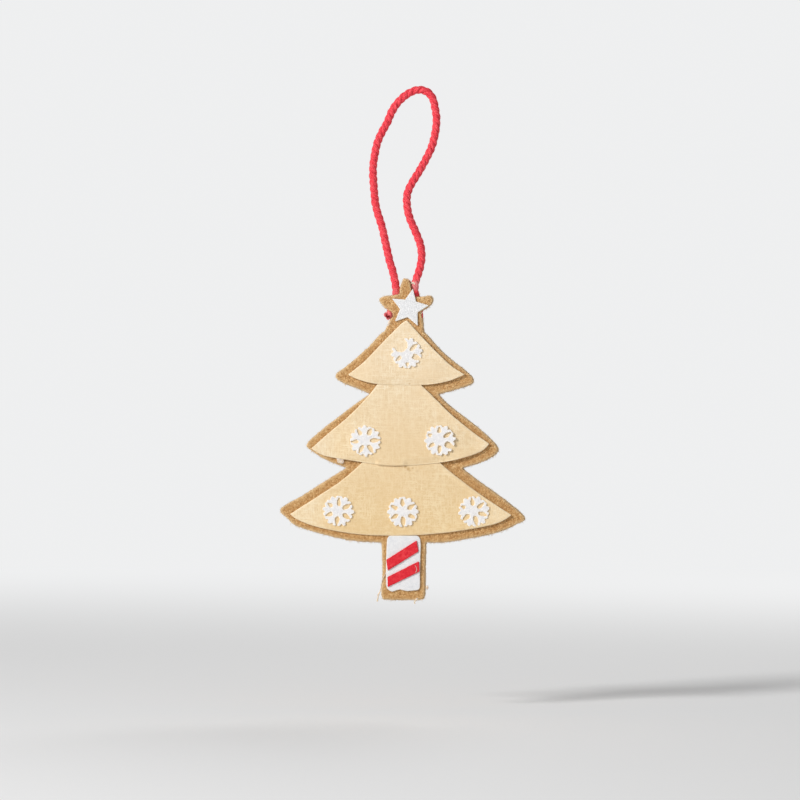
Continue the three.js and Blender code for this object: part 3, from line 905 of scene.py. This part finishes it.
feltLayerSettings = {
    "material": brownFelt, "slot": "brown_felt",
    "voxel": 0.36, "smoothing": 1, "edgeWidth": 1.0,
    "relief": {"Swell": 0.02, "Fine Depth": 0.35, "Fine Scale": 1.2, "Edge Roughness": 1.2,
               "Broad Depth": 0.25, "Broad Scale": 0.09},
    "hairs": [
        hairKind((0.3, 0.9), 0.055, (0.2, 1.35), edge=6.6, paleness=1.0),
        hairKind((0.6, 1.2), 0.06, (1.15, 1.5), face=1.15, paleness=0.45),
        hairKind((0.7, 1.4), 0.12, (0.1, 1.0), tufts=0.8, paleness=1.3),
    ],
}
tierSettings = {
    "material": creamFelt, "slot": "cream_felt", "seed": 21,
    "voxel": 0.36, "smoothing": 3, "edgeWidth": 0.6,
    "relief": {"Swell": 0.05, "Fine Depth": 0.04, "Fine Scale": 0.8,
               "Broad Depth": 0.25, "Broad Scale": 0.05},
    "hairs": [hairKind((0.2, 0.6), 0.045, (0.2, 1.4), face=0.04, edge=3.0, paleness=0.6)],
    "solidThickness": 1.2, "pressed": 0.5, "sunk": 0.48,
    "settled": 0.93,  # how far the wings sink back onto the brown felt
    "relaxed": 0.5,  # how much less than the solids the middle leans
    "flattened": 0.95,  # how far the part over the next tier lies flat on it
    "lipHeight": 3.0, "curl": 0.45, "curlReach": 5.0,
    "curlBelow": (3.0, 8.0),  # from the tier's top
    # painted shade: how brown a tier goes under its lower edges
    "paintedShadeUnder": 0.75,
    # Brown smudges: photograph column and row, radius in pixels, strength
    "stains": [(405.5, 466.9, 1.3, 0.7), (408.2, 468.7, 1.6, 0.8), (409.6, 470.6, 1.1, 0.5),
               (412.6, 468, 1, 0.6), (417, 471, 1.3, 0.3), (409.5, 383.9, 0.9, 0.9)],
    "stainEdge": (1.5, 0.4),
}
# Held and curl are distances from the tree's middle: a tier is held up by the one it lies on, and its lip
# curls. The lip is its lower edge, by photograph column: how much is pressed away, less than none where it
# stands off.
tiers = {
    "bottom_tier": {"on": "front_felt", "curl": (10.0, 24.0)},
    "middle_tier": {
        "on": "bottom_tier", "held": (19.0, 30.0), "curl": (19.0, 26.0),
        "lip": [(340, 0), (356, 0.8), (375, 0.75), (379, -0.35), (403, -0.35), (408, 0.8), (438, 0.8),
                (456, 0)],
    },
    "top_tier": {
        "on": "middle_tier", "held": (11.5, 22.0), "curl": (11.5, 18.0),
        "lip": [(366, 0), (384, 0.7), (440, 0.7), (455, 0)],
    },
}
whiteSettings = {
    "material": whiteFelt, "slot": "white_felt",
    "voxel": 0.2, "smoothing": 3, "edgeWidth": 0.6,
    "relief": {"Swell": 0.05, "Fine Depth": 0.1, "Fine Scale": 1.3, "Broad Depth": 0.1, "Broad Scale": 0.2},
    "hairs": [hairKind((0.2, 0.6), 0.045, (0.4, 1.45), face=0.3, edge=2.6, paleness=0.4)],
    "pressed": 0.65, "sunk": 0.42,
}
stripeSettings = {**whiteSettings, "material": redFelt, "slot": "red_felt", "pressed": 0.5, "sunk": 1.03}
# How far a normal points: on a cut wall less than this to front or back, under an edge down, on a bare face
# outwards, and on the face that shows a sheet's outline more than this forwards
facing = {"wall": 0.6, "under": (0.3, 0.8), "out": 0.3, "outline": 0.9}


def meshFromNode(nodeName):
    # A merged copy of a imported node's mesh, in millimetres
    shape = bmesh.new()
    shape.from_mesh(frame["nodes"][nodeName].data)
    bmesh.ops.remove_doubles(shape, verts=shape.verts, dist=mm * mm)
    return scaledBy(meshOf(shape, nodeName + "_copy"), 1 / mm)


def softened(mesh, s):
    # The same body with even faces and edges rounded over
    body = addObject("softening", mesh)
    remesh = body.modifiers.new("even", "REMESH")
    remesh.mode, remesh.voxel_size = "VOXEL", s["voxel"]
    smooth = body.modifiers.new("round", "SMOOTH")
    smooth.factor, smooth.iterations = 0.5, s["smoothing"]
    return meshFrom(body)


def markHairs(mesh, width, covers, looks):
    # Where a sheet's hairs grow: near its cut edge, under its lower edges, and on its bare face
    normals = vectors(mesh.vertex_normals, "vector")
    places = points(mesh)
    walls = nearestAmong(places[np.abs(normals[:, 1]) < facing["wall"]])
    far = np.array([walls.find(place)[2] for place in places])
    edge = np.clip(1 - far / width, 0, 1)
    store(mesh, "cutEdge", edge)
    store(mesh, "underside", edge**2 * smoothstep(-normals[:, 2], *facing["under"]))
    bare = (normals[:, 1] * looks > facing["out"]).astype(float)
    for cover in covers:
        shape = bmesh.new()
        shape.from_mesh(frame["nodes"][cover].data)
        hull = BVHTree.FromBMesh(shape)
        shape.free()
        for i in np.nonzero(bare)[0]:
            if hull.ray_cast(Vector(places[i]) * mm, Vector((0, looks, 0)))[0]:
                bare[i] = 0
    store(mesh, "bare", bare)


def markStainsAndShade(mesh, s):
    # Real smudges, and painted shade under the lower edges, as one brown mark
    places = points(mesh)
    strength = np.zeros(len(places), np.float32)
    mesh.attributes["underside"].data.foreach_get("value", strength)
    strength = strength.astype(float) * s["paintedShadeUnder"]
    for across, down, radius, most in s["stains"]:
        centre = photoPoint(across, down)
        far = np.hypot(places[:, 0] - centre.x, places[:, 2] - centre.z) / (radius * photo["pixel"])
        strength = np.maximum(strength, most * smoothstep(far, *s["stainEdge"]))
    store(mesh, "stainAndShade", strength)


def areaOf(nodeName):
    # Flat area of a sheet's outline, from its solid's faces that look forward
    faces = frame["nodes"][nodeName].data.polygons
    return sum(face.area for face in faces if face.normal.y < -facing["outline"])


def makeSheet(nodeName, name, s, seed, reshape=None, cut=None, covers=(), looks=-1):
    # cut is a mesh of its own outline and its flat area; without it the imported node's own shape is used
    material, slot = s["material"], s["slot"]
    mesh, area = cut or (meshFromNode(nodeName), areaOf(nodeName))
    mesh = softened(mesh, s)
    if reshape:
        places = points(mesh)
        reshape(places, nodeName, s)
        setPoints(mesh, places)
    markHairs(mesh, s["edgeWidth"], covers, looks)
    if "stains" in s:
        markStainsAndShade(mesh, s)
    mesh = grown(mesh, sheetRelief, {**s["relief"], "Seed": float(seed), "Material": material})
    hairs = hairsOn(mesh, s["hairs"], material, seed, apart=50)
    sheet = piece(name, mesh)
    fuzz = piece(name + "_hairs", hairs)
    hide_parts(nodeName)
    for part in (sheet, fuzz):
        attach(part, "tree")
    return sheet, fuzz


def levelAt(places, sheet):
    # How far back the sheet's own slanted plane lies at the places' heights
    return np.polyval(np.polyfit(sheet[:, 2], sheet[:, 1], 1), places[:, 2])


def press(places, nodeName, s):
    # A sheet pressed thinner, and back on to what carries it
    middle = levelAt(places, places)
    places[:, 1] = middle + (places[:, 1] - middle) * s["pressed"] + s["sunk"]


def settle(places, nodeName, s):
    # A tier lies on the next one's upper part, and its wings sink back past where that one holds it up
    tier = tiers[nodeName]
    low, high = (Vector(corner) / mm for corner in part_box(nodeName))
    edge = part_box(tier["on"])[1][2] / mm
    lean = (high.y - low.y - s["solidThickness"]) / (high.z - low.z)
    held = 1 - smoothstep(np.abs(places[:, 0] - treeMiddle.x / mm), *tier["held"])
    drop = lean * np.maximum(high.z - places[:, 2], 0)
    lying = lean * np.maximum(edge - places[:, 2], 0)
    places[:, 1] += drop * ((1 - held) * s["settled"] + held * s["relaxed"])
    places[:, 1] += lying * held * (1 - s["relaxed"]) * s["flattened"]


def nearEdge(places, along, across, side, reach):
    # From 0 this far in to 1 at the outline's furthest points to one side, found for each millimetre along
    bins = np.round(places[:, along]).astype(int)
    first = bins.min()
    furthest = np.full(bins.max() - first + 1, -np.inf)
    np.maximum.at(furthest, bins - first, side * places[:, across])
    edge = np.interp(places[:, along], np.arange(len(furthest)) + first, furthest)
    return smoothstep(edge - side * places[:, across], reach, 0)


def thinLip(places, lip, height):
    # A tier's lower edge is pressed thin where it is glued on the next tier
    columns, shares = zip(*lip)
    columns = [photoPoint(column, 0).x for column in columns]
    thin = nearEdge(places, 0, 2, -1, height) * np.interp(places[:, 0], columns, shares)
    level = levelAt(places, places)
    back = level + (places[:, 1] - level).max()
    places[:, 1] = back + (places[:, 1] - back) * (1 - thin)


def curl(places, nodeName, s):
    # A tier's right slope and right lip stand off the brown felt a little
    slope = nearEdge(places, 2, 0, 1, s["curlReach"])
    slope *= smoothstep(places[:, 2].max() - places[:, 2], *s["curlBelow"])
    lip = nearEdge(places, 0, 2, -1, s["curlReach"])
    lip *= smoothstep(places[:, 0] - treeMiddle.x / mm, *tiers[nodeName]["curl"])
    places[:, 1] -= s["curl"] * np.maximum(slope, lip)


def shapeTier(places, nodeName, s):
    press(places, nodeName, s)
    if "held" in tiers[nodeName]:
        thinLip(places, tiers[nodeName]["lip"], s["lipHeight"])
        settle(places, nodeName, s)
    curl(places, nodeName, s)


makeSheet("back_felt", "back_felt_layer", feltLayerSettings, seed=11, looks=1)
makeSheet("front_felt", "front_felt_layer", feltLayerSettings, seed=12,
          covers=(*tiers, "star", "trunk_patch"))
print("felt layers are cut")

for number, (nodeName, tier) in enumerate(tiers.items()):
    seed = tierSettings["seed"] + number
    makeSheet(nodeName, "cream_" + nodeName, tierSettings, seed, shapeTier)
print("tiers are laid")

makeSheet("star", "white_star", whiteSettings, seed=31, reshape=press)
upperStripe = makeSheet("upper_stripe", "red_upper_stripe", stripeSettings, seed=33, reshape=press)
lowerStripe = makeSheet("lower_stripe", "red_lower_stripe", stripeSettings, seed=34, reshape=press)
makeSheet("trunk_patch", "white_trunk_patch", whiteSettings, seed=32, reshape=press)
print("star, patch and stripes are on")


# Snowflakes: each has its own middle in the photograph. Its arms are at clockwise angles from straight up,
# each with the share of the radius where the gap after it starts.

flakeSettings = {
    **whiteSettings,
    "material": flakeFelt,
    "seed": 41,
    "radius": 6.35,
    "jitter": 0.07,
    "thickness": 0.65,
    "sunk": 1.4,
    "lift": 0.1,  # of the right arms
    # Half of one arm, across it and out along it in shares of the radius
    "arm": [
        (0.095, 0.33), (0.115, 0.43), (0.15, 0.52), (0.215, 0.61), (0.315, 0.7), (0.42, 0.765), (0.445, 0.81),
        (0.39, 0.885), (0.27, 0.9), (0.175, 0.81), (0.115, 0.93), (0.06, 1.0),
    ],
    "voxel": 0.13,
    "smoothing": 2,
    "relief": {"Swell": -0.02, "Fine Depth": 0.12, "Fine Scale": 1.4,
               "Broad Depth": 0.1, "Broad Scale": 0.25},
}
snowflakes = {
    "top_snowflake": {
        "middle": (406.7, 353.2), "on": "top_tier",
        "arms": {20: 0.22, 80: 0.42, 148: 0.6, 207: 0.42, 264: 0.2},
    },
    "middle_left_snowflake": {
        "middle": (365.5, 440.7), "on": "middle_tier",
        "arms": {56: 0.27, 117: 0.32, 178: 0.32, 236: 0.43, 296: 0.45, 356: 0.4},
    },
    "middle_right_snowflake": {
        "middle": (439.8, 440.2), "on": "middle_tier", "lift": 0.6,
        "arms": {25: 0.29, 83: 0.36, 155: 0.32, 211: 0.42, 268: 0.6, 327: 0.48},
    },
    "bottom_left_snowflake": {
        "middle": (338.4, 510.6), "on": "bottom_tier",
        "arms": {32: 0.3, 93: 0.34, 156: 0.33, 218: 0.4, 278: 0.45, 335: 0.32},
    },
    "bottom_centre_snowflake": {
        "middle": (402.9, 511.7), "on": "bottom_tier",
        "arms": {27: 0.34, 88: 0.4, 147: 0.3, 211: 0.34, 270: 0.4, 328: 0.35},
    },
    "bottom_right_snowflake": {
        "middle": (473.7, 511.1), "on": "bottom_tier",
        "arms": {20: 0.32, 77: 0.3, 137: 0.3, 199: 0.34, 263: 0.58, 322: 0.36},
    },
}


def flakeCut(flake, seed):
    # The flake's flat outline, pushed out to its thickness, and the outline's area
    s = flakeSettings
    centre = photoPoint(*flake["middle"])
    arms, gaps = list(flake["arms"]), list(flake["arms"].values())
    stray = np.random.default_rng(seed)
    edge = []

    def add(across, out, degrees):
        angle = math.radians(degrees)
        right, up = stray.normal(0, s["jitter"], 2)
        edge.append((
            centre.x + s["radius"] * (out * math.sin(angle) + across * math.cos(angle)) + right,
            centre.z + s["radius"] * (out * math.cos(angle) - across * math.sin(angle)) + up,
        ))

    for i, here in enumerate(arms):
        there = (*arms, arms[0] + 360)[i + 1]
        for across, out in s["arm"]:
            if out > gaps[i - 1]:
                add(-across, out, here)
        for across, out in reversed(s["arm"]):
            if out > gaps[i]:
                add(across, out, here)
        add(0, gaps[i], (here + there) / 2)
    shape = bmesh.new()
    half = s["thickness"] / 2
    front = [shape.verts.new((x, -half, z)) for x, z in edge]
    back = [shape.verts.new((x, half, z)) for x, z in edge]
    shape.faces.new(front)
    shape.faces.new(reversed(back))
    for i, start in enumerate(front):
        shape.faces.new((start, back[i], back[i - 1], front[i - 1]))
    bmesh.ops.recalc_face_normals(shape, faces=shape.faces)
    turns = zip(edge, edge[1:] + edge[:1])
    area = abs(sum(a[0] * b[1] - b[0] * a[1] for a, b in turns)) / 2
    return meshOf(shape, "flake_cut"), area * mm * mm


def placeFlake(places, nodeName, s):
    # On the tier it is glued to, at the tier's own slope there, its right arms lifted
    solid = points(meshFromNode(nodeName))
    flake = snowflakes[nodeName]
    if "held" in tiers[flake["on"]]:
        settle(solid, flake["on"], tierSettings)
    places[:, 1] += levelAt(places, solid) + s["sunk"]
    loose = (places[:, 0] - places[:, 0].min()) / np.ptp(places[:, 0])
    places[:, 1] -= flake.get("lift", s["lift"]) * loose ** 2


for number, (nodeName, flake) in enumerate(snowflakes.items()):
    seed = flakeSettings["seed"] + number
    cut = flakeCut(flake, number)
    makeSheet(nodeName, "white_" + nodeName, flakeSettings, seed, placeFlake, cut)
print("snowflakes are on")


# Hot glue: the pads between the layers, and what was squeezed out of them as beads and threads

glueSettings = {"voxel": 0.08, "smoothing": 10, "lumpScale": 1.3, "lumpHeight": 0.16}
# A drop's places are photograph columns and rows, and how far back each lies. A drop with one place is a bead
# with a radius each way, and one with more is a thread with a radius at each. A pad alone has no drops.
glueDrops = {
    "head_glue": [
        ([(412.1, 283.1, -1.2)], (0.55, 0.4, 0.4)),
        ([(413.6, 282.7, -1.3)], (0.55, 0.35, 0.33)),
        ([(414.6, 284.1, -1.4)], (0.35, 0.3, 0.4)),
        ([(389.9, 320, -1.7), (389.6, 321.6, -1.9), (389.2, 323.4, -2), (388.4, 325.4, -2),
          (387.4, 327.2, -1.9)],
         (0.25, 0.45, 0.5, 0.42, 0.25)),
        ([(421.2, 312.9, -1.1)], (0.45, 0.3, 0.5)),
    ],
    "top_tier_glue": [],
    "middle_tier_glue": [
        ([(339.7, 458.9, -2.95)], (1.2, 0.4, 0.95)),
        ([(341.7, 461.1, -2.85)], (1.0, 0.42, 1.2)),
        ([(339.2, 461, -2.8)], (0.8, 0.4, 0.75)),
        ([(341.9, 458.6, -2.9)], (0.7, 0.36, 0.7)),
    ],
    "bottom_left_glue": [],
    "bottom_right_glue": [],
    "trunk_glue": [
        ([(427.1, 587.4, -1.6)], (0.62, 0.6, 0.85)),
        ([(427.5, 586.2, -1.9)], (0.4, 0.4, 0.5)),
        ([(386.6, 571.4, -3), (384, 576, -2.7), (382, 580.5, -2.5), (381.3, 585, -1.4), (381.2, 588, -0.5),
          (379.8, 591.4, -0.3), (378.4, 594.6, -0.3), (377.9, 597.4, -0.3), (377.5, 600, -0.3)],
         (0.14, 0.14, 0.15, 0.17, 0.22, 0.24, 0.32, 0.26, 0.3)),
        ([(378.3, 595, -0.3)], (0.42, 0.35, 0.5)),
        ([(377.4, 600.4, -0.3)], (0.42, 0.35, 0.55)),
        ([(417.6, 597.8, -2.5), (416, 599.4, -2.3), (414.7, 600.8, -2.1), (414.4, 602.4, -2),
          (415.3, 603.7, -2)],
         (0.34, 0.32, 0.36, 0.34, 0.24)),
        ([(414.6, 564.4, -3.6), (415.8, 566, -3.7), (416.6, 568, -3.7), (416.6, 570.2, -3.7),
          (415.8, 572, -3.6)],
         (0.1, 0.13, 0.13, 0.12, 0.08)),
    ],
}


def glueThread(places, radii):
    curve = curveFrom(np.array([list(place) for place in places], float), "glue_thread")
    curve.bevel_depth = 1.0
    curve.bevel_resolution = 3
    curve.use_fill_caps = True
    for point, radius in zip(curve.splines[0].points, radii):
        point.radius = radius
    return meshFrom(addObject("glue_thread", curve))


def glueBead(place, radii):
    shape = bmesh.new()
    bmesh.ops.create_icosphere(shape, subdivisions=3, radius=1.0)
    bmesh.ops.transform(shape, matrix=Matrix.Diagonal((*radii, 1)), verts=shape.verts)
    bmesh.ops.translate(shape, vec=place, verts=shape.verts)
    return meshOf(shape, "glue_bead")


def glueDrop(places, radii):
    places = [photoPoint(*place) for place in places]
    return glueBead(places[0], radii) if len(places) == 1 else glueThread(places, radii)


def lumpy(mesh):
    # Set glue is never quite round
    mesh.update()
    places = points(mesh)
    swell = np.array([noise.noise(Vector(place) * glueSettings["lumpScale"]) for place in places])
    away = vectors(mesh.vertex_normals, "vector") * swell[:, None]
    setPoints(mesh, places + away * glueSettings["lumpHeight"])
    return mesh


for nodeName, drops in glueDrops.items():
    parts = [meshFromNode(nodeName)]
    parts[0].materials.clear()
    if drops:
        parts.append(lumpy(softened(joined([glueDrop(*drop) for drop in drops]), glueSettings)))
    mesh = joined(parts)
    mesh.materials.append(driedGlue)
    glue = piece(nodeName + ("_drops" if drops else "_pad"), mesh)
    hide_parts(nodeName)
    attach(glue, "tree")
print("glue has set")
